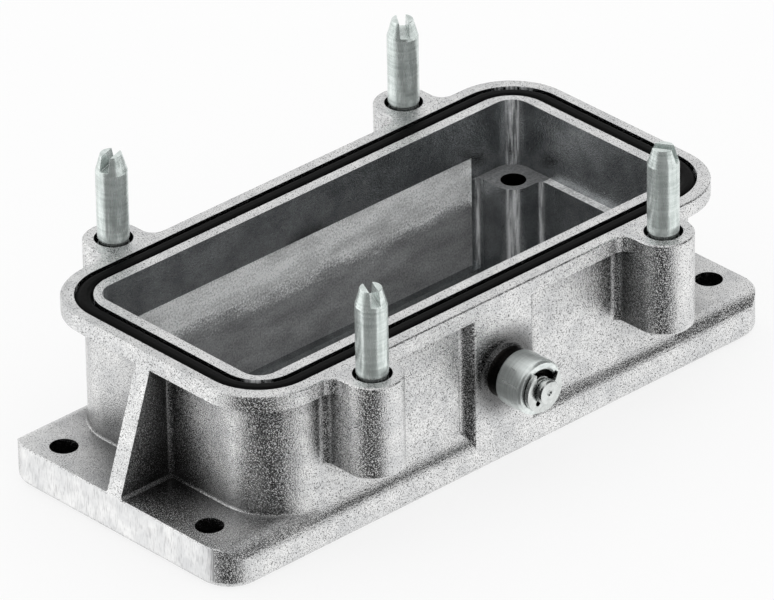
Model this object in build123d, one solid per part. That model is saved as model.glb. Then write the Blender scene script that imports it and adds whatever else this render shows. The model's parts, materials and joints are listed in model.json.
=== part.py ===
from build123d import *
import os

os.makedirs("parts", exist_ok=True)

# Frame: millimetres, +Z up, X along the long side, panel face at z = 0,
# origin on the panel face in the middle of the opening.

# Contact insert: its screw pattern and the space around it
insert_screw_pitch_x = 77.5
insert_screw_pitch_y = 27.0
insert_screw_d = 4.0
insert_screw_depth = 11.0
insert_margin_x = 4.25
insert_margin_y = 4.5
insert_seat_depth = 11.3
opening_corner_r = 3.2
end_ledge_width = 1.45
corner_boss_r = 3.2
corner_boss_fillet_r = 1.2
side_pad_end_gap = 8.8
side_pad_rise = 3.75
side_pad_depth = 0.25
foot_lip_depth = 1.2
foot_lip_height = 2.2

# Box wall and rim
total_height = 28.7
end_wall = 2.8
side_wall = 5.0
wall_corner_r = 9.6
wall_foot_rise = 0.5
wall_foot_drop = 1.2
wall_foot_spread = 1.0
rim_thickness = 2.6
rim_overhang_x = 3.7
rim_overhang_y = 1.75
rim_corner_r = 10.7
rim_edge_break = 0.2

# Base plate and its four panel screws
panel_hole_d = 4.4
panel_hole_off_wall = 5.7
panel_hole_pitch_y = 32.0
base_end_margin = 4.5
base_thickness = 6.7
base_corner_r = 5.5
base_long_edge_r = 3.3
base_end_edge_break = 0.2
base_foot_edge_r = 1.3

# Rim seal in the top face, panel seal in the underside
rim_groove_land = 1.8
rim_groove_w = 2.9
rim_groove_depth = 2.3
rim_groove_corner_r = 9.1
rim_seal_side_gap = 0.15
rim_seal_below_rim = 0.05
rim_seal_crown_r = 1.0
panel_groove_land = 2.0
panel_groove_w = 2.4
panel_groove_depth = 1.6
panel_groove_corner_r = 4.5
panel_seal_side_gap = 0.1

# Guide pins and their bosses
pin_inboard = 16.0
pin_outboard = 3.45
pin_d = 4.9
pin_reach = 11.6
pin_point_height = 2.8
pin_point_d = 3.3
pin_foot_chamfer = 0.4
pin_relief_depth = 0.2
pin_relief_drop = 0.8
pin_relief_rise = 0.2
pin_slot_width = 1.4
pin_slot_depth = 2.3
pin_well_gap = 0.55
pin_well_depth = 2.5
boss_r = 4.72
boss_hang = 13.0
boss_floor = 1.9
boss_edge_break = 0.45
neck_fillet_r = 2.0
neck_wall_straight = 0.18

# Roller blocks and the cast hubs in front of them
block_face_half = 5.9
block_foot_half = 7.6
block_root = 0.7
block_edge_r = 0.9
block_foot_r = 1.3
roller_axis_z = 15.55
hub_r = 3.8
hub_length = 2.3
hub_flare_r = 1.1

# Roller, stud and clip; their axis is parallel to Y
stud_d = 4.0
stud_seat_depth = 7.0
stud_beyond_clip = 1.0
stud_tip_chamfer = 0.25
stud_centre_r = 0.5
stud_centre_depth = 0.4
roller_r = 4.38
roller_length = 5.25
roller_end_play = 0.15
roller_bore_play = 0.05
roller_edge = 0.35
roller_well_r = 3.0
roller_well_depth = 0.7
clip_offset = 0.3
clip_thickness = 0.7
clip_r = 3.5
clip_play = 0.05
clip_groove_depth = 0.5
clip_throat_half = 0.8
clip_flare_half = 2.0
clip_flare_at = 1.5
clip_mouth_half = 2.35
clip_notch_r = 0.45
clip_notch_out = 2.15
clip_notch_angle = 29.0
clip_turn = 12.0

# End ribs
rib_thickness = 3.0
rib_fillet_r = 0.8
rib_foot_spread = 0.45

# Sizes that follow from the ones above
opening_length = insert_screw_pitch_x + 2 * insert_margin_x
opening_width = insert_screw_pitch_y + 2 * insert_margin_y
wall_length = opening_length + 2 * end_wall
wall_width = opening_width + 2 * side_wall
rim_length = wall_length + 2 * rim_overhang_x
rim_width = wall_width + 2 * rim_overhang_y
panel_hole_pitch_x = wall_length + 2 * panel_hole_off_wall
base_length = panel_hole_pitch_x + 2 * base_end_margin
base_width = rim_width
pin_pitch_x = wall_length - 2 * pin_inboard
pin_pitch_y = rim_width + 2 * pin_outboard
rim_under_z = total_height - rim_thickness
insert_seat_z = total_height - insert_seat_depth
pad_top_z = insert_seat_z + side_pad_rise
boss_foot_z = rim_under_z - boss_hang
pin_foot_z = boss_foot_z + boss_floor
neck_wall_fillet_r = pin_inboard - wall_corner_r - boss_r - neck_wall_straight
pin_shoulder_z = total_height + pin_reach
pin_tip_z = pin_shoulder_z + pin_point_height
block_face_y = rim_width / 2
hub_face_y = block_face_y + hub_length
stud_root_y = hub_face_y - stud_seat_depth
roller_back_y = hub_face_y + roller_end_play
roller_front_y = roller_back_y + roller_length
clip_back_y = roller_front_y + clip_offset
clip_front_y = clip_back_y + clip_thickness
stud_tip_y = clip_front_y + stud_beyond_clip
stud_groove_r = stud_d / 2 - clip_groove_depth

# Slot direction of each guide pin as it was pressed in, in degrees from X
pin_slot_angle = {
    "rear_right": 55.0,
    "rear_left": 18.0,
    "front_left": 65.0,
    "front_right": -59.0,
}


def prism(plan, z0, z1):
    """A flat plan pulled up from z0 to z1."""
    return extrude(Pos(0, 0, z0) * plan, z1 - z0)


def box(x0, x1, y0, y1, z0, z1):
    """A block between six planes."""
    centre = Pos((x0 + x1) / 2, (y0 + y1) / 2, (z0 + z1) / 2)
    return centre * Box(abs(x1 - x0), abs(y1 - y0), abs(z1 - z0))


def four(pitch_x, pitch_y):
    """Four named places mirrored about both centre planes."""
    return {
        "rear_right": (pitch_x / 2, pitch_y / 2),
        "rear_left": (-pitch_x / 2, pitch_y / 2),
        "front_left": (-pitch_x / 2, -pitch_y / 2),
        "front_right": (pitch_x / 2, -pitch_y / 2),
    }


def both_sides(shape):
    """A piece made for the front long side, and its copy turned to the rear."""
    return {"front": shape, "rear": Rot(0, 0, 180) * shape}


def corners_at(plan, y, x_low, x_high):
    """Plan corners that lie on the two lines at +y and -y."""
    return plan.vertices().filter_by(
        lambda v: abs(abs(v.Y) - y) < 0.02 and x_low < abs(v.X) < x_high
    )


def boss_plan():
    """Round pin bosses with their straight necks, as one flat plan."""
    plan = Sketch()
    for x, y in four(pin_pitch_x, pin_pitch_y).values():
        plan += Pos(x, y) * Circle(boss_r)
        plan += Pos(x, y / 2) * Rectangle(2 * boss_r, abs(y))
    return plan


def neck_corners(plan, y):
    """Corners where the necks leave the long lines at +y and -y."""
    return corners_at(plan, y, pin_pitch_x / 2 - boss_r - 0.1, pin_pitch_x / 2 + boss_r + 0.1)


def block_plan():
    """Raised middle blocks of both long walls, as one flat plan."""
    plan = Sketch()
    root_y = wall_width / 2 - block_root
    for side in (1, -1):
        plan += make_face(Polyline(
            (-block_foot_half, side * root_y),
            (-block_face_half, side * block_face_y),
            (block_face_half, side * block_face_y),
            (block_foot_half, side * root_y),
            close=True,
        ))
    return plan


def wall_plan():
    """Wall outline with the two roller blocks."""
    plan = RectangleRounded(wall_length, wall_width, wall_corner_r) + block_plan()
    plan = fillet(corners_at(plan, wall_width / 2, 0, block_foot_half + 1), block_foot_r)
    return fillet(corners_at(plan, block_face_y, 0, block_foot_half + 1), block_edge_r)


def base_plate():
    """Slab with round plan corners and rolled long edges."""
    slab = prism(RectangleRounded(base_length, base_width, base_corner_r), 0, base_thickness)
    slab = fillet(slab.edges().group_by(Axis.Z)[0], base_foot_edge_r)
    slab = chamfer(slab.edges().group_by(Axis.Z)[-1], base_end_edge_break)
    section = Rectangle(base_width, 2 * base_thickness)
    section = fillet(section.vertices(), base_long_edge_r)
    roll = extrude(Plane.YZ * section, base_length / 2 + 1, both=True)
    return slab & roll


def wall_foot():
    """Sloped foot that spreads the wall onto the rolled edge of the base."""
    spread = 2 * wall_foot_spread
    low = RectangleRounded(wall_length + spread, wall_width + spread, wall_corner_r + wall_foot_spread)
    top = RectangleRounded(wall_length, wall_width, wall_corner_r)
    low = Pos(0, 0, base_thickness - wall_foot_drop) * low
    top = Pos(0, 0, base_thickness + wall_foot_rise) * top
    return loft([low, top], ruled=True)


def end_ribs(half_thickness):
    """Sloping ribs from the rim down to the ends of the base."""
    ribs = []
    root_x = wall_length / 2 - end_wall / 2
    for side in (1, -1):
        outline = make_face(Polyline(
            (side * root_x, rim_under_z),
            (side * rim_length / 2, rim_under_z),
            (side * base_length / 2, base_thickness),
            (side * base_length / 2, base_foot_edge_r),
            (side * root_x, base_foot_edge_r),
            close=True,
        ))
        ribs.append(extrude(Plane.XZ * outline, half_thickness, both=True))
    return ribs


def rib_feet():
    """Sloped feet along both sides of the ribs where they stand on the base."""
    half = rib_thickness / 2
    section = make_face(Polyline(
        (-half - rib_foot_spread, base_thickness),
        (-half, base_thickness + rib_foot_spread),
        (half, base_thickness + rib_foot_spread),
        (half + rib_foot_spread, base_thickness),
        close=True,
    ))
    ridge = extrude(Plane.YZ * section, base_length / 2, both=True)
    return [rib & ridge for rib in end_ribs(half + rib_foot_spread)]


def rib_roots(body):
    """Upright lines where the end ribs leave the end walls."""
    return body.edges().filter_by(Axis.Z).filter_by(
        lambda e: abs(abs(e.center().Y) - rib_thickness / 2) < 0.02
        and abs(abs(e.center().X) - wall_length / 2) < 0.02
    )


def pin_bosses():
    """Hanging bosses with their necks, edge broken round the underside."""
    bosses = prism(boss_plan(), boss_foot_z, rim_under_z)
    bosses = chamfer(bosses.edges().group_by(Axis.Z)[0], boss_edge_break)
    webs = RectangleRounded(wall_length, wall_width, wall_corner_r) + boss_plan()
    webs = fillet(neck_corners(webs, wall_width / 2), neck_wall_fillet_r)
    return bosses + prism(webs, boss_foot_z + boss_edge_break, rim_under_z)


def rim_plate():
    """Rim outline with the boss tops blended into it, top edge broken."""
    plan = RectangleRounded(rim_length, rim_width, rim_corner_r) + boss_plan()
    plan = fillet(neck_corners(plan, rim_width / 2), neck_fillet_r)
    plate = prism(plan, rim_under_z, total_height)
    return chamfer(plate.edges().group_by(Axis.Z)[-1], rim_edge_break)


def front_hub():
    """Cast hub behind the front roller, flared into the block face."""
    half = make_face(Polyline(
        (0, -block_face_y + 1),
        (hub_r + hub_flare_r, -block_face_y + 1),
        (hub_r + hub_flare_r, -block_face_y),
        (hub_r, -block_face_y),
        (hub_r, -hub_face_y),
        (0, -hub_face_y),
        close=True,
    ))
    flare = half.vertices().filter_by(
        lambda v: abs(v.X - hub_r) < 0.01 and abs(v.Y + block_face_y) < 0.01
    )
    half = fillet(flare, hub_flare_r * 0.99)
    return Pos(0, 0, roller_axis_z) * revolve(half, Axis.Y)


def contact_space():
    """Everything the casting leaves open for the contact insert."""
    lower_length = opening_length - 2 * end_ledge_width
    upper_plan = RectangleRounded(opening_length, opening_width, opening_corner_r)
    upper = prism(upper_plan, insert_seat_z, total_height + 1)
    half_x = insert_screw_pitch_x / 2 - corner_boss_r
    half_y = insert_screw_pitch_y / 2 - corner_boss_r
    plan = Rectangle(2 * half_x, opening_width) + Rectangle(lower_length, 2 * half_y)
    for x, y, r in (
        (half_x, half_y, corner_boss_r),
        (half_x, opening_width / 2, corner_boss_fillet_r),
        (lower_length / 2, half_y, corner_boss_fillet_r),
    ):
        corners = plan.vertices().filter_by(
            lambda v: abs(abs(v.X) - x) < 0.01 and abs(abs(v.Y) - y) < 0.01
        )
        plan = fillet(corners, r)
    space = upper + prism(plan, -1, insert_seat_z)
    pad_half = opening_length / 2 - side_pad_end_gap
    for side in (1, -1):
        wall = side * opening_width / 2
        pad_face = wall + side * side_pad_depth
        lip_face = wall - side * foot_lip_depth
        space += box(-pad_half, pad_half, wall - side, pad_face, foot_lip_height, pad_top_z)
        space -= box(-half_x - 1, half_x + 1, wall, lip_face, -2, foot_lip_height)
    return space


def ring_plan(land, w, outer_corner_r, side_gap):
    """Flat ring round the opening; side_gap narrows it on both sides."""
    length = opening_length + 2 * (land + w - side_gap)
    width = opening_width + 2 * (land + w - side_gap)
    band = w - 2 * side_gap
    outer = RectangleRounded(length, width, outer_corner_r - side_gap)
    inner = RectangleRounded(length - 2 * band, width - 2 * band, outer_corner_r - side_gap - band)
    return outer - inner


def make_housing():
    """The casting: base, wall, rim, bosses, blocks, hubs and ribs, then its bores."""
    body = base_plate()
    body += wall_foot()
    body += prism(wall_plan(), base_foot_edge_r, rim_under_z)
    for rib in end_ribs(rib_thickness / 2):
        body += rib
    body = fillet(rib_roots(body), rib_fillet_r)
    for foot in rib_feet():
        body += foot
    body += pin_bosses()
    body += rim_plate()
    for hub in both_sides(front_hub()).values():
        body += hub
    body -= contact_space()
    rim_groove = ring_plan(rim_groove_land, rim_groove_w, rim_groove_corner_r, 0)
    body -= prism(rim_groove, total_height - rim_groove_depth, total_height + 1)
    panel_groove = ring_plan(panel_groove_land, panel_groove_w, panel_groove_corner_r, 0)
    body -= prism(panel_groove, -1, panel_groove_depth)
    for x, y in four(panel_hole_pitch_x, panel_hole_pitch_y).values():
        body -= prism(Pos(x, y) * Circle(panel_hole_d / 2), -1, base_thickness + 1)
    for x, y in four(insert_screw_pitch_x, insert_screw_pitch_y).values():
        body -= prism(Pos(x, y) * Circle(insert_screw_d / 2),
                      insert_seat_z - insert_screw_depth, insert_seat_z + 1)
    for x, y in four(pin_pitch_x, pin_pitch_y).values():
        body -= prism(Pos(x, y) * Circle(pin_d / 2), pin_foot_z, total_height + 1)
        body -= prism(Pos(x, y) * Circle(pin_d / 2 + pin_well_gap),
                      total_height - pin_well_depth, total_height + 1)
    bore = Plane.XZ.offset(stud_root_y) * Circle(stud_d / 2)
    bore = Pos(0, 0, roller_axis_z) * extrude(bore, stud_seat_depth + 1)
    for cut in both_sides(bore).values():
        body -= cut
    return body


def make_rim_seal():
    """Round-topped seal seated on the floor of the rim groove."""
    plan = ring_plan(rim_groove_land, rim_groove_w, rim_groove_corner_r, rim_seal_side_gap)
    seal = prism(plan, total_height - rim_groove_depth, total_height - rim_seal_below_rim)
    return fillet(seal.edges().group_by(Axis.Z)[-1], rim_seal_crown_r)


def make_panel_seal():
    """Flat seal in the underside, level with the panel face."""
    plan = ring_plan(panel_groove_land, panel_groove_w, panel_groove_corner_r, panel_seal_side_gap)
    return prism(plan, 0, panel_groove_depth)


def make_guide_pin(x, y, slot_angle):
    """Turned pin: pressed shank, relief at the rim, free length, cone point, driver slot."""
    r = pin_d / 2
    half = make_face(Polyline(
        (0, pin_foot_z),
        (r - pin_foot_chamfer, pin_foot_z),
        (r, pin_foot_z + pin_foot_chamfer),
        (r, total_height - pin_relief_drop),
        (r - pin_relief_depth, total_height - pin_relief_drop),
        (r - pin_relief_depth, total_height + pin_relief_rise),
        (r, total_height + pin_relief_rise),
        (r, pin_shoulder_z),
        (pin_point_d / 2, pin_tip_z),
        (0, pin_tip_z),
        close=True,
    ))
    pin = revolve(Plane.XZ * half, Axis.Z)
    slot = box(-pin_d, pin_d, -pin_slot_width / 2, pin_slot_width / 2,
               pin_tip_z - pin_slot_depth, pin_tip_z + 1)
    pin -= Rot(0, 0, slot_angle) * slot
    return Pos(x, y, 0) * pin


def make_stud():
    """Shouldered stud in the hub, with the clip groove and a centre mark."""
    r = stud_d / 2
    half = make_face(Polyline(
        (0, -stud_root_y),
        (r, -stud_root_y),
        (r, -clip_back_y + clip_play),
        (stud_groove_r, -clip_back_y + clip_play),
        (stud_groove_r, -clip_front_y - clip_play),
        (r, -clip_front_y - clip_play),
        (r, -stud_tip_y + stud_tip_chamfer),
        (r - stud_tip_chamfer, -stud_tip_y),
        (stud_centre_r, -stud_tip_y),
        (0, -stud_tip_y + stud_centre_depth),
        close=True,
    ))
    return Pos(0, 0, roller_axis_z) * revolve(half, Axis.Y)


def make_roller():
    """Loose roller with broken edges and a sunk front face."""
    bore_r = stud_d / 2 + roller_bore_play
    half = make_face(Polyline(
        (bore_r, -roller_back_y),
        (roller_r - roller_edge, -roller_back_y),
        (roller_r, -roller_back_y - roller_edge),
        (roller_r, -roller_front_y + roller_edge),
        (roller_r - roller_edge, -roller_front_y),
        (roller_well_r, -roller_front_y),
        (roller_well_r, -roller_front_y + roller_well_depth),
        (bore_r, -roller_front_y + roller_well_depth),
        close=True,
    ))
    return Pos(0, 0, roller_axis_z) * revolve(half, Axis.Y)


def make_clip():
    """Open spring clip round the stud groove: flared mouth upward, two round notches below."""
    plan = Circle(clip_r) - Circle(stud_groove_r + clip_play)
    plan -= make_face(Polyline(
        (-clip_throat_half, 0),
        (-clip_flare_half, clip_flare_at),
        (-clip_mouth_half, clip_r),
        (clip_mouth_half, clip_r),
        (clip_flare_half, clip_flare_at),
        (clip_throat_half, 0),
        close=True,
    ))
    for side in (1, -1):
        plan -= Rot(0, 0, side * clip_notch_angle) * Pos(0, -clip_notch_out) * Circle(clip_notch_r)
    clip = extrude(Plane.XZ.offset(clip_back_y) * Rot(0, 0, -clip_turn) * plan, clip_thickness)
    return Pos(0, 0, roller_axis_z) * clip


nodes = {
    "housing": make_housing(),
    "rim_seal": make_rim_seal(),
    "panel_seal": make_panel_seal(),
}
for place, (x, y) in four(pin_pitch_x, pin_pitch_y).items():
    nodes["guide_pin_" + place] = make_guide_pin(x, y, pin_slot_angle[place])
for place, shape in both_sides(make_stud()).items():
    nodes["roller_stud_" + place] = shape
for place, shape in both_sides(make_roller()).items():
    nodes["roller_" + place] = shape
for place, shape in both_sides(make_clip()).items():
    nodes["roller_clip_" + place] = shape

for name, shape in nodes.items():
    export_step(shape, "parts/" + name + ".step")
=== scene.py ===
import json
import math
import bpy
from mathutils import Matrix, Vector

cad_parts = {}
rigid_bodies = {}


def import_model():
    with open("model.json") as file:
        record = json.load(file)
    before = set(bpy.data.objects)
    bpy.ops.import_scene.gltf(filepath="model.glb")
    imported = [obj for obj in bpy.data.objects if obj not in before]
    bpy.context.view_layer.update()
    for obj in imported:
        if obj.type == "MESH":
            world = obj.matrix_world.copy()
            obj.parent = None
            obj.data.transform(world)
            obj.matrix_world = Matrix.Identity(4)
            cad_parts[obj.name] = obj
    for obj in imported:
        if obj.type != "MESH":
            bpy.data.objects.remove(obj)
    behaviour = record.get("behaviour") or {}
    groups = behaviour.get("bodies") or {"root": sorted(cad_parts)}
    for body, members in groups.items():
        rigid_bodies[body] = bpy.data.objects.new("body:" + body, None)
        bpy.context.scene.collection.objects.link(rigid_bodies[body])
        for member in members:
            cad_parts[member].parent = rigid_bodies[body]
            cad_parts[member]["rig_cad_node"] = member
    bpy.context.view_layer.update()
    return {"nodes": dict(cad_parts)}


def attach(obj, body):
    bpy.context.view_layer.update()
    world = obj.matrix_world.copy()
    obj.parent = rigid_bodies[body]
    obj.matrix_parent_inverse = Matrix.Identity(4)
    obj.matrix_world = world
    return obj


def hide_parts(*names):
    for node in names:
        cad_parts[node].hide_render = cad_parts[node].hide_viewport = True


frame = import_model()
solids = frame["nodes"]
bpy.ops.object.select_all(action="DESELECT")


# Camera. A long lens far off, 43 degrees round from the front and 30 degrees up,
# turned one degree about its own axis, as the photograph was taken.
camera_place = Vector((-0.890262, -0.960504, 0.769800))
camera_heading = math.radians(42.810)
camera_down = math.radians(29.8785)
camera_roll = math.radians(-1.0024)
sensor_width = 36.0
focal_length = 469.08
nearest_seen = 0.05
farthest_seen = 20.0

look = Vector((
    math.sin(camera_heading) * math.cos(camera_down),
    math.cos(camera_heading) * math.cos(camera_down),
    -math.sin(camera_down),
))
level_right = look.cross(Vector((0, 0, 1))).normalized()
level_up = level_right.cross(look)
right = math.cos(camera_roll) * level_right + math.sin(camera_roll) * level_up
up = math.cos(camera_roll) * level_up - math.sin(camera_roll) * level_right
bpy.ops.object.camera_add()
camera = bpy.context.object
camera.name = "camera"
camera.matrix_world = Matrix((
    (right.x, up.x, -look.x, camera_place.x),
    (right.y, up.y, -look.y, camera_place.y),
    (right.z, up.z, -look.z, camera_place.z),
    (0, 0, 0, 1),
))
camera.data.sensor_width = sensor_width
camera.data.lens = focal_length
camera.data.clip_start = nearest_seen
camera.data.clip_end = farthest_seen
bpy.context.scene.camera = camera
bpy.context.scene.view_settings.view_transform = "Standard"


# Studio. White surroundings, soft light from both sides, and dark cloth on the camera's
# side, so that faces turned to the lens stay darker than the flanks. A grey sheet across
# the foot of the opening, unseen by the camera, is painted shade where the floor lies in
# the part's shadow; it keeps the floor's light out of the cavity.
room_white = 1.0
floor_size = 8.0
floor_white = (0.92, 0.92, 0.92, 1)
floor_glow = 0.80
card_distance = 1.1
left_light = 1.3
right_light = 1.2
back_cloth = 0.85
high_cloth = 0.06
dark_cloth = 0.03
bench_size = (0.108, 0.045, 1)
bench_lift = 0.0002
shade_sheet_grey = (0.25, 0.25, 0.25, 1)


def new_material(name):
    """A node material with its shader and the two functions that add and join nodes."""
    material = bpy.data.materials.new(name)
    material.use_nodes = True
    tree = material.node_tree

    def add(kind, **settings):
        node = tree.nodes.new(kind)
        for key, value in settings.items():
            setattr(node, key, value)
        return node

    return material, tree.nodes.get("Principled BSDF"), add, tree.links.new


room = bpy.data.worlds.new("room")
bpy.context.scene.world = room
room.use_nodes = True
background = room.node_tree.nodes["Background"]
background.inputs["Color"].default_value = (1, 1, 1, 1)
background.inputs["Strength"].default_value = room_white

bpy.ops.mesh.primitive_plane_add(size=floor_size)
floor = bpy.context.object
floor.name = "floor"
paper, shader, add, link = new_material("floor_paper")
shader.inputs["Base Color"].default_value = floor_white
shader.inputs["Roughness"].default_value = 0.9
glow = add("ShaderNodeEmission")
glow.inputs["Strength"].default_value = room_white
path = add("ShaderNodeLightPath")
share = add("ShaderNodeMath", operation="MULTIPLY")
share.inputs[1].default_value = floor_glow
blend = add("ShaderNodeMixShader")
link(path.outputs["Is Camera Ray"], share.inputs[0])
link(share.outputs[0], blend.inputs[0])
link(shader.outputs[0], blend.inputs[1])
link(glow.outputs[0], blend.inputs[2])
link(blend.outputs[0], paper.node_tree.nodes["Material Output"].inputs["Surface"])
floor.data.materials.append(paper)
floor.visible_glossy = False


def studio_card(name, heading, brightness, width, low, high):
    """An upright card round the object that only reflections see."""
    bpy.ops.mesh.primitive_plane_add(size=1.0)
    card = bpy.context.object
    card.name = name
    away = Vector((math.sin(heading), math.cos(heading), 0))
    card.scale = (width, high - low, 1)
    card.rotation_euler = (math.radians(90), 0, -heading)
    card.location = away * card_distance + Vector((0, 0, (low + high) / 2))
    cloth, shader, add, link = new_material(name)
    shine = add("ShaderNodeEmission")
    shine.inputs["Strength"].default_value = brightness
    link(shine.outputs[0], cloth.node_tree.nodes["Material Output"].inputs["Surface"])
    card.data.materials.append(cloth)
    card.visible_camera = False
    card.visible_diffuse = False
    card.visible_shadow = False


toward_camera = camera_heading + math.pi
on_the_left = toward_camera + math.radians(95)
on_the_right = toward_camera - math.radians(95)
high_on_the_right = toward_camera - math.radians(92)
left_of_front = toward_camera + math.radians(10)
studio_card("cloth_front", left_of_front, dark_cloth, width=2.2, low=-1.6, high=1.3)
studio_card("cloth_back", camera_heading, back_cloth, width=1.6, low=0.25, high=1.3)
studio_card("light_left", on_the_left, left_light, width=1.1, low=-1.2, high=0.9)
studio_card("light_right", on_the_right, right_light, width=1.1, low=-1.2, high=0.08)
studio_card("cloth_right_high", high_on_the_right, high_cloth, width=1.5, low=0.08, high=1.9)

# Painted shade: a grey sheet unseen by the camera, under the opening where the floor lies in the part's
# shadow.
bpy.ops.mesh.primitive_plane_add(size=1.0)
bench = bpy.context.object
bench.name = "bench_shade"
bench.scale = bench_size
bench.location = (0, 0, bench_lift)
shade_card, shader, add, link = new_material("bench_shade")
shader.inputs["Base Color"].default_value = shade_sheet_grey
bench.data.materials.append(shade_card)
bench.visible_camera = False
bench.visible_shadow = False


# Housing. One aluminium die casting, blasted to a grey grain outside and rubbed bright
# along its edges. The cavity keeps the darker cast skin, with painted highlights streaked
# down its rounded inner corners; the hubs, pin wells and bores are painted dark as shade,
# and shade is painted into the pockets and round the roller hubs. The two long pads are
# milled and the four screw seats are grey.
edge_width = 0.00016
edge_angle = 34
merge_distance = 0.000002
flat_within = 0.6
grain_per_metre = 5200.0
grain_depth = 0.00008
grains_per_cloud = 24
grains_per_highlight_streak = 3
pit_seed = 7.0
blasted_light = (0.82, 0.82, 0.815, 1)
blasted_dark = (0.64, 0.645, 0.65, 1)
rubbed_light = (0.78, 0.78, 0.775, 1)
rubbed_dark = (0.52, 0.52, 0.52, 1)
skin_light = (0.62, 0.64, 0.65, 1)
skin_dark = (0.38, 0.395, 0.405, 1)
# Painted shade: a near-black grey for the hubs, the pin wells, the bores and the roller wells.
hub_shade_grey = (0.11, 0.10, 0.092, 1)
pad_light = (0.90, 0.91, 0.91, 1)
pad_dark = (0.35, 0.355, 0.36, 1)
seat_grey = (0.24, 0.245, 0.25, 1)
# Painted highlight: a pale grey streaked down rounded corners whose faces turn diagonally.
highlight_grey = (0.92, 0.93, 0.94, 1)
noise_span = (0.3, 0.7)
cloud_span = (0.35, 0.65)
pit_span = (0.36, 0.42)
matt_span = (0.56, 0.62)
matt_tone = 0.85
# Painted shade: colour darkened within this reach of the casting's own pockets and corners.
pocket_reach = 0.018
pocket_span = (0.27, 0.94)
# Painted shadow of the roller, over this span of distance from each hub's axis.
hub_shadow_span = (0.0046, 0.0090)
hub_shadow_tone = 0.20
highlight_facing_span = (0.34, 0.47)
highlight_stretch = 0.08
highlight_streak_span = (0.36, 0.60)
cavity_half = (0.04306, 0.01806)
cavity_top = 0.0286
underside = 0.0003
pad_half_length = 0.0343
pad_planes = (0.01812, 0.0184)
pad_heights = (0.0022, 0.0213)
pad_wear_span = (0.0187, 0.0213)
pad_wear_sway = 0.008
pad_wear_fray = 0.0045
pad_sway_per_metre = 230.0
pad_stains_per_metre = 420.0
pad_stain_tones = (0.72, 1.20)
pad_speck_span = (0.32, 0.68)
pad_speck_tones = (0.55, 1.30)
ledge_half = (0.0415, 0.0098)
ledge_z = 0.0174
insert_hole = (0.03875, 0.0135)
insert_hole_r = 0.00203
groove_half = (0.0477, 0.0227)
groove_corner = 0.0091
groove_heights = (0.0262, 0.02869)
hub_centre_z = 0.01555
hub_reach = 0.00405
hub_from_y = 0.0235
pin_centre = (0.0298, 0.0282)
pin_well_r = 0.00303
pin_well_floor = 0.0261
base_top = 0.0067
base_end = 0.0545
close_to = 0.0001
upright_below = 0.5
end_facing_above = 0.9
from_above = (0, 1)
from_the_front = (0, 2)


def copy_of_solid(solid_name, piece_name, materials, width, edge_slot=-1, crease=edge_angle):
    """A solid's copy with merged triangles, whole flat faces and a bevel on its edges.

    The shortest edges of the solid hold the bevel to a hairline, whatever its width.
    """
    bpy.ops.object.select_all(action="DESELECT")
    solids[solid_name].select_set(True)
    bpy.context.view_layer.objects.active = solids[solid_name]
    bpy.ops.object.duplicate()
    piece = bpy.context.object
    piece.name = piece_name
    del piece["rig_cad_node"]
    piece.data.materials.clear()
    for material in materials:
        piece.data.materials.append(material)
    bpy.ops.mesh.customdata_custom_splitnormals_clear()
    bpy.ops.object.mode_set(mode="EDIT")
    bpy.ops.mesh.select_all(action="SELECT")
    bpy.ops.mesh.remove_doubles(threshold=merge_distance)
    bpy.ops.mesh.dissolve_limited(angle_limit=math.radians(flat_within))
    bpy.ops.object.mode_set(mode="OBJECT")
    rounding = piece.modifiers.new("rounding", "BEVEL")
    rounding.width = width
    rounding.segments = 2
    rounding.limit_method = "ANGLE"
    rounding.angle_limit = math.radians(edge_angle)
    rounding.miter_outer = "MITER_ARC"
    rounding.material = edge_slot
    bpy.ops.object.modifier_apply(modifier="rounding")
    bpy.ops.object.shade_smooth_by_angle(angle=math.radians(crease))
    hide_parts(solid_name)
    return piece


def farthest(piece, face, line, view):
    """How far a face's corners lie at most from a line that is a point in this view."""
    corners = (piece.data.vertices[index].co for index in face.vertices)
    return max(
        math.hypot(abs(corner[view[0]]) - line[0], abs(corner[view[1]]) - line[1])
        for corner in corners)


def noise(add, per_metre, detail, roughness=0.5, **settings):
    """A noise node with this many waves in a metre."""
    node = add("ShaderNodeTexNoise", **settings)
    node.inputs["Scale"].default_value = per_metre
    node.inputs["Detail"].default_value = detail
    node.inputs["Roughness"].default_value = roughness
    return node


def drawn_out(add, scale):
    """A node that draws a pattern out along each axis whose scale is small."""
    node = add("ShaderNodeMapping")
    node.inputs["Scale"].default_value = scale
    return node


def remap(add, span, tones=(0.0, 1.0), curve="SMOOTHSTEP"):
    """A node that turns one span of values into another."""
    node = add("ShaderNodeMapRange", interpolation_type=curve)
    node.inputs["From Min"].default_value = span[0]
    node.inputs["From Max"].default_value = span[1]
    node.inputs["To Min"].default_value = tones[0]
    node.inputs["To Max"].default_value = tones[1]
    return node


def two_tones(add, dark, light):
    """A node that mixes a dark tone with a light one."""
    node = add("ShaderNodeMix", data_type="RGBA")
    node.inputs[6].default_value = dark
    node.inputs[7].default_value = light
    return node


def tinted(add):
    """A node that multiplies one colour by another."""
    node = add("ShaderNodeMix", data_type="RGBA", blend_type="MULTIPLY")
    node.inputs[0].default_value = 1.0
    return node


def relief(add, depth, strength=1.0):
    """A bump node of this depth in metres."""
    node = add("ShaderNodeBump")
    node.inputs["Distance"].default_value = depth
    node.inputs["Strength"].default_value = strength
    return node


def squared(add):
    """A node that multiplies a value by itself."""
    node = add("ShaderNodeMath", operation="POWER")
    node.inputs[1].default_value = 2.0
    return node


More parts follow.
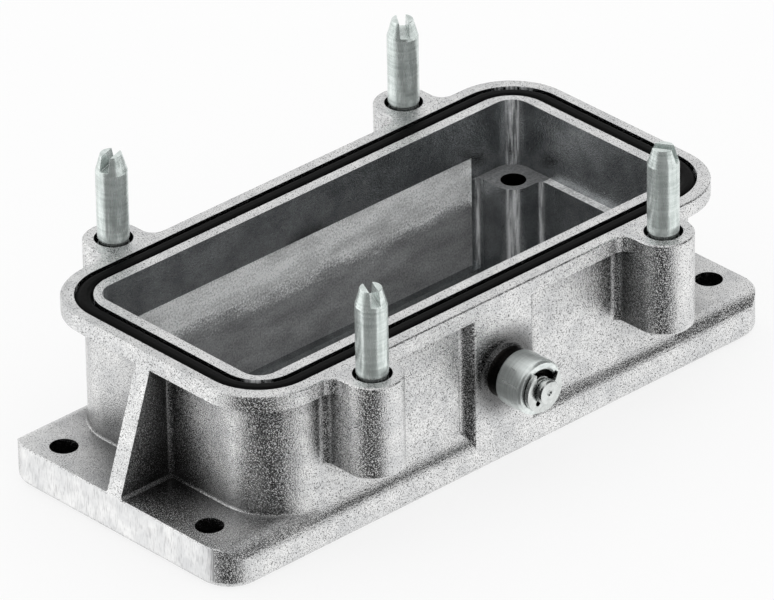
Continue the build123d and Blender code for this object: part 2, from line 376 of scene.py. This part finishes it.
def grained_metal(
        name, light, dark, matt_share, pit_tone, roughness, depth, pocket_shade_tone, stretch=1.0, corner_highlight=0.0):
    """Cast aluminium: shiny facets with matt grains and pits, calmer in pockets, where shade is painted
    darker.

    A painted shadow of the roller darkens it round the roller hubs. Given a highlight amount,
    pale painted highlights streak down the rounded corners that face diagonally.
    """
    metal, shader, add, link = new_material(name)
    shader.inputs["Roughness"].default_value = roughness
    place = add("ShaderNodeTexCoord")

    drawn = drawn_out(add, (1.0, 1.0, stretch))
    grain = noise(add, grain_per_metre, detail=1.0, roughness=0.6)
    pits = noise(add, grain_per_metre, detail=1.0, noise_dimensions="4D")
    pits.inputs["W"].default_value = pit_seed
    cloud = noise(add, grain_per_metre / grains_per_cloud, detail=5.0, roughness=0.65)
    tone = remap(add, cloud_span, curve="LINEAR")
    colour = two_tones(add, dark, light)
    pitted = remap(add, pit_span, (pit_tone, 1.0))
    dull = remap(add, matt_span, (1.0, matt_tone))
    flecks = add("ShaderNodeMath", operation="MULTIPLY")
    link(place.outputs["Object"], drawn.inputs["Vector"])
    link(drawn.outputs["Vector"], grain.inputs["Vector"])
    link(drawn.outputs["Vector"], pits.inputs["Vector"])
    link(place.outputs["Object"], cloud.inputs["Vector"])
    link(cloud.outputs["Fac"], tone.inputs["Value"])
    link(tone.outputs["Result"], colour.inputs[0])
    link(pits.outputs["Fac"], pitted.inputs["Value"])
    link(grain.outputs["Fac"], dull.inputs["Value"])
    link(pitted.outputs["Result"], flecks.inputs[0])
    link(dull.outputs["Result"], flecks.inputs[1])

    # Painted shadow of the roller: darker the nearer the hub's axis.
    split = add("ShaderNodeSeparateXYZ")
    beside = squared(add)
    lift = add("ShaderNodeMath", operation="SUBTRACT")
    lift.inputs[1].default_value = hub_centre_z
    above = squared(add)
    spread = add("ShaderNodeMath", operation="ADD")
    spread_root = add("ShaderNodeMath", operation="SQRT")
    halo = remap(add, hub_shadow_span, (hub_shadow_tone, 1.0))
    shade = add("ShaderNodeMath", operation="MULTIPLY")
    flecked_and_shadowed = tinted(add)
    link(place.outputs["Object"], split.inputs["Vector"])
    link(split.outputs["X"], beside.inputs[0])
    link(split.outputs["Z"], lift.inputs[0])
    link(lift.outputs[0], above.inputs[0])
    link(beside.outputs[0], spread.inputs[0])
    link(above.outputs[0], spread.inputs[1])
    link(spread.outputs[0], spread_root.inputs[0])
    link(spread_root.outputs[0], halo.inputs["Value"])
    link(flecks.outputs[0], shade.inputs[0])
    link(halo.outputs["Result"], shade.inputs[1])
    link(colour.outputs[2], flecked_and_shadowed.inputs[6])
    link(shade.outputs[0], flecked_and_shadowed.inputs[7])

    # Painted shade: darker where the casting's own pockets and corners close in; the same factor also calms
    # the grain and the matt share.
    corner = add("ShaderNodeAmbientOcclusion", samples=8, only_local=True)
    corner.inputs["Distance"].default_value = pocket_reach
    pocket_shade = remap(add, pocket_span, (pocket_shade_tone, 1.0))
    dimmed = tinted(add)
    link(corner.outputs["AO"], pocket_shade.inputs["Value"])
    link(flecked_and_shadowed.outputs[2], dimmed.inputs[6])
    link(pocket_shade.outputs["Result"], dimmed.inputs[7])

    # Painted highlight: pale streaks on faces turned diagonally, where the metal also loses its shine.
    faced = add("ShaderNodeSeparateXYZ")
    diagonal = add("ShaderNodeMath", operation="MULTIPLY")
    rounded = add("ShaderNodeMath", operation="ABSOLUTE")
    highlight_facing = remap(add, highlight_facing_span, (0.0, corner_highlight))
    upright = drawn_out(add, (1.0, 1.0, highlight_stretch))
    highlight_streaks = noise(add, grain_per_metre / grains_per_highlight_streak, detail=4.0)
    broken = remap(add, highlight_streak_span, curve="LINEAR")
    painted_highlight = add("ShaderNodeMath", operation="MULTIPLY")
    highlighted = add("ShaderNodeMix", data_type="RGBA")
    highlighted.inputs[7].default_value = highlight_grey
    link(place.outputs["Normal"], faced.inputs["Vector"])
    link(faced.outputs["X"], diagonal.inputs[0])
    link(faced.outputs["Y"], diagonal.inputs[1])
    link(diagonal.outputs[0], rounded.inputs[0])
    link(rounded.outputs[0], highlight_facing.inputs["Value"])
    link(place.outputs["Object"], upright.inputs["Vector"])
    link(upright.outputs["Vector"], highlight_streaks.inputs["Vector"])
    link(highlight_streaks.outputs["Fac"], broken.inputs["Value"])
    link(highlight_facing.outputs["Result"], painted_highlight.inputs[0])
    link(broken.outputs["Result"], painted_highlight.inputs[1])
    link(painted_highlight.outputs[0], highlighted.inputs[0])
    link(dimmed.outputs[2], highlighted.inputs[6])
    link(highlighted.outputs[2], shader.inputs["Base Color"])

    flat = remap(add, matt_span, (0.0, matt_share))
    matt = add("ShaderNodeMath", operation="MULTIPLY")
    shine = add("ShaderNodeMath", operation="SUBTRACT")
    shine.inputs[0].default_value = 1.0
    polish = add("ShaderNodeMath", operation="SUBTRACT", use_clamp=True)
    bump = relief(add, depth)
    link(grain.outputs["Fac"], flat.inputs["Value"])
    link(flat.outputs["Result"], matt.inputs[0])
    link(pocket_shade.outputs["Result"], matt.inputs[1])
    link(matt.outputs[0], shine.inputs[1])
    link(shine.outputs[0], polish.inputs[0])
    link(painted_highlight.outputs[0], polish.inputs[1])
    link(polish.outputs[0], shader.inputs["Metallic"])
    link(grain.outputs["Fac"], bump.inputs["Height"])
    link(pocket_shade.outputs["Result"], bump.inputs["Strength"])
    link(bump.outputs["Normal"], shader.inputs["Normal"])
    return metal


blasted = grained_metal(
    "blasted_aluminium", blasted_light, blasted_dark, matt_share=0.9, pit_tone=0.20,
    roughness=0.25, depth=grain_depth, pocket_shade_tone=0.20)
linished = grained_metal(
    "linished_end", blasted_light, blasted_dark, matt_share=0.6, pit_tone=0.92,
    roughness=0.30, depth=grain_depth * 0.4, pocket_shade_tone=0.2, stretch=0.12)
rubbed = grained_metal(
    "rubbed_edge", rubbed_light, rubbed_dark, matt_share=0.4, pit_tone=1.0,
    roughness=0.30, depth=grain_depth * 0.6, pocket_shade_tone=0.65)
skin_and_highlight = grained_metal(
    "casting_skin_and_highlight", skin_light, skin_dark, matt_share=0.18, pit_tone=0.6,
    roughness=0.16, depth=grain_depth * 0.6, pocket_shade_tone=0.85, corner_highlight=0.8)
hub_shade_metal = grained_metal(
    "hub_shade_metal", hub_shade_grey, hub_shade_grey, matt_share=0.5, pit_tone=0.5,
    roughness=0.45, depth=grain_depth, pocket_shade_tone=0.2)

milled, shader, add, link = new_material("milled_pad")
shader.inputs["Metallic"].default_value = 0.0
shader.inputs["Roughness"].default_value = 0.42
place = add("ShaderNodeTexCoord")
height = add("ShaderNodeSeparateXYZ")
milled_along = drawn_out(add, (0.4, 1.0, 1.0))
ragged = noise(add, pad_sway_per_metre, detail=6.0, roughness=0.6)
grain = noise(add, grain_per_metre * 0.6, detail=3.0, roughness=0.65)
shift = add("ShaderNodeMath", operation="MULTIPLY_ADD")
shift.inputs[1].default_value = pad_wear_sway
fray = add("ShaderNodeMath", operation="MULTIPLY_ADD")
fray.inputs[1].default_value = pad_wear_fray
worn = remap(add, pad_wear_span)
stains = noise(add, pad_stains_per_metre, detail=5.0)
cloudy = remap(add, noise_span, pad_stain_tones, curve="LINEAR")
speck = remap(add, pad_speck_span, pad_speck_tones, curve="LINEAR")
marks = add("ShaderNodeMath", operation="MULTIPLY")
colour = two_tones(add, pad_dark, pad_light)
specked = tinted(add)
bump = relief(add, grain_depth, strength=0.4)
link(place.outputs["Object"], height.inputs["Vector"])
link(place.outputs["Object"], milled_along.inputs["Vector"])
link(milled_along.outputs["Vector"], ragged.inputs["Vector"])
link(place.outputs["Object"], grain.inputs["Vector"])
link(milled_along.outputs["Vector"], stains.inputs["Vector"])
link(ragged.outputs["Fac"], shift.inputs[0])
link(height.outputs["Z"], shift.inputs[2])
link(grain.outputs["Fac"], fray.inputs[0])
link(shift.outputs[0], fray.inputs[2])
link(fray.outputs[0], worn.inputs["Value"])
link(worn.outputs["Result"], colour.inputs[0])
link(grain.outputs["Fac"], speck.inputs["Value"])
link(stains.outputs["Fac"], cloudy.inputs["Value"])
link(speck.outputs["Result"], marks.inputs[0])
link(cloudy.outputs["Result"], marks.inputs[1])
link(colour.outputs[2], specked.inputs[6])
link(marks.outputs[0], specked.inputs[7])
link(specked.outputs[2], shader.inputs["Base Color"])
link(grain.outputs["Fac"], bump.inputs["Height"])
link(bump.outputs["Normal"], shader.inputs["Normal"])

seat_face = milled.copy()
seat_face.name = "seat_face"
seat_face.node_tree.nodes[colour.name].inputs[7].default_value = seat_grey

metals = (blasted, rubbed, skin_and_highlight, milled, hub_shade_metal, linished, seat_face)
casting = copy_of_solid(
    "housing", "housing_casting", metals, edge_width, edge_slot=metals.index(rubbed))
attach(casting, "base_body")
bpy.ops.object.mode_set(mode="EDIT")
for place, across in ((ledge_half[0], (1, 0, 0)), (ledge_half[1], (0, 1, 0))):
    for side in (-place, place):
        bpy.ops.mesh.select_all(action="SELECT")
        bpy.ops.mesh.bisect(plane_co=Vector(across) * side, plane_no=across)
bpy.ops.object.mode_set(mode="OBJECT")
evening = casting.modifiers.new("evening", "WEIGHTED_NORMAL")
evening.keep_sharp = True
bpy.ops.object.modifier_apply(modifier="evening")

for face in casting.data.polygons:
    x, y, z = (abs(value) for value in face.center)
    metal = metals[face.material_index]
    upright = abs(face.normal.z) < upright_below
    in_plan = x < cavity_half[0] and y < cavity_half[1]
    in_cavity = in_plan and underside < z < cavity_top
    on_seat = in_plan and abs(z - ledge_z) < close_to and not upright
    on_ledge = on_seat and x > ledge_half[0] and y < ledge_half[1]
    on_pad = (
        x < pad_half_length and pad_planes[0] < y < pad_planes[1]
        and pad_heights[0] < z < pad_heights[1])
    worn_edge = in_cavity and metal == rubbed and z < ledge_z + edge_width
    from_groove_corner = math.hypot(
        max(x - groove_half[0] + groove_corner, 0), max(y - groove_half[1] + groove_corner, 0))
    in_groove = (
        from_groove_corner < groove_corner + close_to and upright
        and groove_heights[0] < z < groove_heights[1])
    in_bore = (
        farthest(casting, face, insert_hole, from_above) < insert_hole_r
        and z < ledge_z - 2 * edge_width)
    in_hub = y > hub_from_y and farthest(casting, face, (0, hub_centre_z), from_the_front) < hub_reach
    in_pin_well = z > pin_well_floor and farthest(casting, face, pin_centre, from_above) < pin_well_r
    on_base_end = x > base_end and z < base_top and abs(face.normal.x) > end_facing_above
    # The bores, the hubs and the pin wells take the near-black hub metal: painted shade.
    if in_bore:
        metal = hub_shade_metal
    elif on_pad or on_ledge or worn_edge:
        metal = milled
    elif on_seat:
        metal = seat_face
    elif in_hub or in_pin_well:
        metal = hub_shade_metal
    elif on_base_end and metal == blasted:
        metal = linished
    elif in_groove and not in_cavity or in_cavity and metal == blasted:
        metal = skin_and_highlight
    face.material_index = metals.index(metal)


# Rim seal and panel seal. Black rubber rings laid in the grooves of the top face and
# of the underside; the upper one has a round back.
rubber_black = (0.0015, 0.0015, 0.0015, 1)
talc_per_metre = 1400.0
talc_depth = 0.0001

rubber, shader, add, link = new_material("black_rubber")
shader.inputs["Base Color"].default_value = rubber_black
shader.inputs["Roughness"].default_value = 0.40
shader.inputs["Specular IOR Level"].default_value = 0.04
place = add("ShaderNodeTexCoord")
talc = noise(add, talc_per_metre, detail=3.0)
bump = relief(add, talc_depth, strength=0.3)
link(place.outputs["Object"], talc.inputs["Vector"])
link(talc.outputs["Fac"], bump.inputs["Height"])
link(bump.outputs["Normal"], shader.inputs["Normal"])
for name in ("rim_seal", "panel_seal"):
    solids[name].data.materials.clear()
    solids[name].data.materials.append(rubber)


# Guide pins. Turned steel, zinc plated with a faint blue-green cast, pressed into the
# bosses; cone points with a driver slot, and shade painted into the gap round their feet.
pin_edge = 0.00012
turned_crease = 13.5
rings_per_metre = 2600.0
ring_depth = 0.00004
ring_stretch = 0.08
streaks_per_metre = 1500.0
streak_depth = 0.00002
streak_stretch = 0.12
stain_span = (0.80, 1.20)
# Painted shade in the gaps round the pins' feet and the roller parts, within this reach.
gap_reach = 0.0016
gap_span = (0.20, 0.62)
gap_shade_tone = 0.06
pin_light = (0.79, 0.85, 0.83, 1)
pin_dark = (0.53, 0.585, 0.565, 1)


def plated_steel(name, light, dark, roughness, metallic, axis):
    """Zinc plate over turned steel: faint rings round its axis, streaks along it, and shade painted into
    its gaps.
    """
    plate, shader, add, link = new_material(name)
    shader.inputs["Metallic"].default_value = metallic
    along_z = axis == "Z"
    place = add("ShaderNodeTexCoord")
    across = drawn_out(add, (ring_stretch, ring_stretch, 1) if along_z else (ring_stretch, 1, ring_stretch))
    along = drawn_out(add, (1, 1, streak_stretch) if along_z else (1, streak_stretch, 1))
    rings = noise(add, rings_per_metre, detail=2.0)
    streaks = noise(add, streaks_per_metre, detail=5.0, roughness=0.6)
    marks = add("ShaderNodeMath", operation="ADD")
    stained = remap(add, stain_span, curve="LINEAR")
    colour = two_tones(add, dark, light)
    # Painted shade: darker where other surfaces close in, as in the gap round a pin's foot.
    gap = add("ShaderNodeAmbientOcclusion", samples=8)
    gap.inputs["Distance"].default_value = gap_reach
    gap_shade = remap(add, gap_span, (gap_shade_tone, 1.0))
    gap_shaded = tinted(add)
    matt = remap(add, noise_span, (roughness + 0.1, roughness - 0.08), curve="LINEAR")
    turned = relief(add, ring_depth, strength=0.8)
    scored = relief(add, streak_depth, strength=0.8)
    link(place.outputs["Object"], across.inputs["Vector"])
    link(place.outputs["Object"], along.inputs["Vector"])
    link(across.outputs["Vector"], rings.inputs["Vector"])
    link(along.outputs["Vector"], streaks.inputs["Vector"])
    link(streaks.outputs["Fac"], marks.inputs[0])
    link(rings.outputs["Fac"], marks.inputs[1])
    link(marks.outputs[0], stained.inputs["Value"])
    link(stained.outputs["Result"], colour.inputs[0])
    link(gap.outputs["AO"], gap_shade.inputs["Value"])
    link(colour.outputs[2], gap_shaded.inputs[6])
    link(gap_shade.outputs["Result"], gap_shaded.inputs[7])
    link(gap_shaded.outputs[2], shader.inputs["Base Color"])
    link(streaks.outputs["Fac"], matt.inputs["Value"])
    link(matt.outputs["Result"], shader.inputs["Roughness"])
    link(rings.outputs["Fac"], turned.inputs["Height"])
    link(streaks.outputs["Fac"], scored.inputs["Height"])
    link(turned.outputs["Normal"], scored.inputs["Normal"])
    link(scored.outputs["Normal"], shader.inputs["Normal"])
    return plate


pin_plate = plated_steel(
    "plated_pin", pin_light, pin_dark, roughness=0.26, metallic=0.66, axis="Z")
for corner in ("rear_right", "rear_left", "front_left", "front_right"):
    pin = copy_of_solid(
        "guide_pin_" + corner, "pin_" + corner, (pin_plate,), pin_edge, crease=turned_crease)
    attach(pin, "base_body")


# Roller group, one on each long side: a grooved stud pressed into the hub, a roller
# that turns on it, and an open spring clip in the groove that keeps the roller on.
stud_edge = 0.00012
roller_edge = 0.00015
roller_well_r = 0.00303
clip_edge = 0.0001
wheel_light = (0.86, 0.905, 0.89, 1)
wheel_dark = (0.68, 0.725, 0.71, 1)
clip_light = (0.68, 0.70, 0.69, 1)
clip_dark = (0.56, 0.58, 0.57, 1)

wheel_plate = plated_steel(
    "plated_roller", wheel_light, wheel_dark, roughness=0.32, metallic=0.85, axis="Y")
clip_steel = plated_steel(
    "spring_steel", clip_light, clip_dark, roughness=0.26, metallic=1.0, axis="Y")
wheel_metals = (wheel_plate, hub_shade_metal)
for side in ("front", "rear"):
    stud = copy_of_solid(
        "roller_stud_" + side, "stud_" + side, (clip_steel,), stud_edge, crease=turned_crease)
    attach(stud, "base_body")
    roller = copy_of_solid(
        "roller_" + side, "wheel_" + side, wheel_metals, roller_edge, crease=turned_crease)
    # The roller's well takes the near-black hub metal: painted shade.
    for face in roller.data.polygons:
        if farthest(roller, face, (0, hub_centre_z), from_the_front) < roller_well_r:
            face.material_index = wheel_metals.index(hub_shade_metal)
    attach(roller, side + "_roller")
    clip = copy_of_solid(
        "roller_clip_" + side, "clip_" + side, (clip_steel,), clip_edge, crease=turned_crease)
    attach(clip, "base_body")
